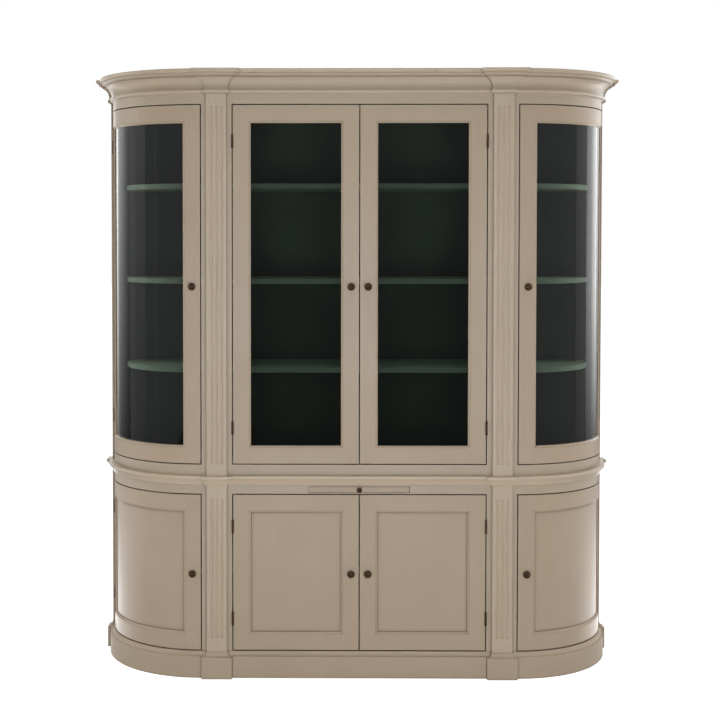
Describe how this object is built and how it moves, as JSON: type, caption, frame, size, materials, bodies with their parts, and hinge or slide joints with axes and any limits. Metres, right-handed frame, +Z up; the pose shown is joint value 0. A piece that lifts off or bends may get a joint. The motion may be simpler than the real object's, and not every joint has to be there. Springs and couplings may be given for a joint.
{
  "type": "buffet cabinet",
  "caption": "Painted display buffet with quarter-round bowed ends: glazed doors over panelled doors, fluted pilasters, a pull-out slide and a breakfront cornice.",
  "frame": {"origin": "on the floor, under the middle of the cabinet's bounding box", "axes": "+Z up, the doors face -Y, +X to the right of a person who faces the doors"},
  "size_m": [2.1812, 0.523, 2.4],
  "materials": {
    "taupe_painted_wood": "satin taupe paint with a thin brown glaze in the corners",
    "green_painted_wood": "matt dark green paint",
    "bare_wood": "plain hardwood",
    "clear_glass": "clear",
    "dark_bronze": "dark bronzed",
    "steel": "plain",
    "dark_plastic": "matt"
  },
  "bodies": {
    "cabinet": {"base_back": "green_painted_wood", "base_bowed_rails": "taupe_painted_wood", "base_face_frame": "taupe_painted_wood", "base_floor": "green_painted_wood", "base_partitions": "green_painted_wood", "base_pilasters": "taupe_painted_wood", "base_rear_posts": "taupe_painted_wood", "base_shelves": "green_painted_wood", "cornice": "taupe_painted_wood", "door_catches": "dark_plastic", "hinge_frame_leaves": "dark_bronze", "hinge_pins": "steel", "plinth": "taupe_painted_wood", "shelf_pins": "steel", "slide_runners": "bare_wood", "upper_back": "green_painted_wood", "upper_bowed_rails": "taupe_painted_wood", "upper_face_frame": "taupe_painted_wood", "upper_floor": "green_painted_wood", "upper_partitions": "green_painted_wood", "upper_pilasters": "taupe_painted_wood", "upper_rear_posts": "taupe_painted_wood", "upper_roof": "green_painted_wood", "upper_shelves": "green_painted_wood", "waist_moulding": "taupe_painted_wood", "worktop": "taupe_painted_wood"},
    "lower_left_door": {"lower_left_door_frame": "taupe_painted_wood", "lower_left_door_hinges": "dark_bronze", "lower_left_door_knob": "dark_bronze", "lower_left_door_panel": "taupe_painted_wood"},
    "lower_right_door": {"lower_right_door_frame": "taupe_painted_wood", "lower_right_door_hinges": "dark_bronze", "lower_right_door_knob": "dark_bronze", "lower_right_door_panel": "taupe_painted_wood"},
    "lower_left_bowed_door": {"lower_left_bowed_door_frame": "taupe_painted_wood", "lower_left_bowed_door_hinges": "dark_bronze", "lower_left_bowed_door_knob": "dark_bronze", "lower_left_bowed_door_panel": "taupe_painted_wood"},
    "lower_right_bowed_door": {"lower_right_bowed_door_frame": "taupe_painted_wood", "lower_right_bowed_door_hinges": "dark_bronze", "lower_right_bowed_door_knob": "dark_bronze", "lower_right_bowed_door_panel": "taupe_painted_wood"},
    "upper_left_door": {"upper_left_door_frame": "taupe_painted_wood", "upper_left_door_glass": "clear_glass", "upper_left_door_hinges": "dark_bronze", "upper_left_door_knob": "dark_bronze"},
    "upper_right_door": {"upper_right_door_frame": "taupe_painted_wood", "upper_right_door_glass": "clear_glass", "upper_right_door_hinges": "dark_bronze", "upper_right_door_knob": "dark_bronze"},
    "upper_left_bowed_door": {"upper_left_bowed_door_frame": "taupe_painted_wood", "upper_left_bowed_door_glass": "clear_glass", "upper_left_bowed_door_hinges": "dark_bronze", "upper_left_bowed_door_knob": "dark_bronze"},
    "upper_right_bowed_door": {"upper_right_bowed_door_frame": "taupe_painted_wood", "upper_right_bowed_door_glass": "clear_glass", "upper_right_bowed_door_hinges": "dark_bronze", "upper_right_bowed_door_knob": "dark_bronze"},
    "slide": {"slide_board": "taupe_painted_wood", "slide_knob": "dark_bronze"}
  },
  "joints": [
    {"name": "lower_left_door_hinge", "type": "hinge", "parent": "cabinet", "child": "lower_left_door", "pos_m": [-0.5009, -0.1928, 0.415], "axis": [0, 0, -1], "range_deg": [0, 110]},
    {"name": "lower_right_door_hinge", "type": "hinge", "parent": "cabinet", "child": "lower_right_door", "pos_m": [0.5009, -0.1928, 0.415], "axis": [0, 0, 1], "range_deg": [0, 110]},
    {"name": "lower_left_bowed_door_hinge", "type": "hinge", "parent": "cabinet", "child": "lower_left_bowed_door", "pos_m": [-1.0249, 0.2065, 0.415], "axis": [0, 0, -1], "range_deg": [0, 100]},
    {"name": "lower_right_bowed_door_hinge", "type": "hinge", "parent": "cabinet", "child": "lower_right_bowed_door", "pos_m": [1.0249, 0.2065, 0.415], "axis": [0, 0, 1], "range_deg": [0, 100]},
    {"name": "upper_left_door_hinge", "type": "hinge", "parent": "cabinet", "child": "upper_left_door", "pos_m": [-0.5009, -0.1928, 1.555], "axis": [0, 0, -1], "range_deg": [0, 110]},
    {"name": "upper_right_door_hinge", "type": "hinge", "parent": "cabinet", "child": "upper_right_door", "pos_m": [0.5009, -0.1928, 1.555], "axis": [0, 0, 1], "range_deg": [0, 110]},
    {"name": "upper_left_bowed_door_hinge", "type": "hinge", "parent": "cabinet", "child": "upper_left_bowed_door", "pos_m": [-1.0249, 0.2065, 1.555], "axis": [0, 0, -1], "range_deg": [0, 100]},
    {"name": "upper_right_bowed_door_hinge", "type": "hinge", "parent": "cabinet", "child": "upper_right_bowed_door", "pos_m": [1.0249, 0.2065, 1.555], "axis": [0, 0, 1], "range_deg": [0, 100]},
    {"name": "slide_pull", "type": "slide", "parent": "cabinet", "child": "slide", "axis": [0, -1, 0], "range_m": [0, 0.28]}
  ]
}
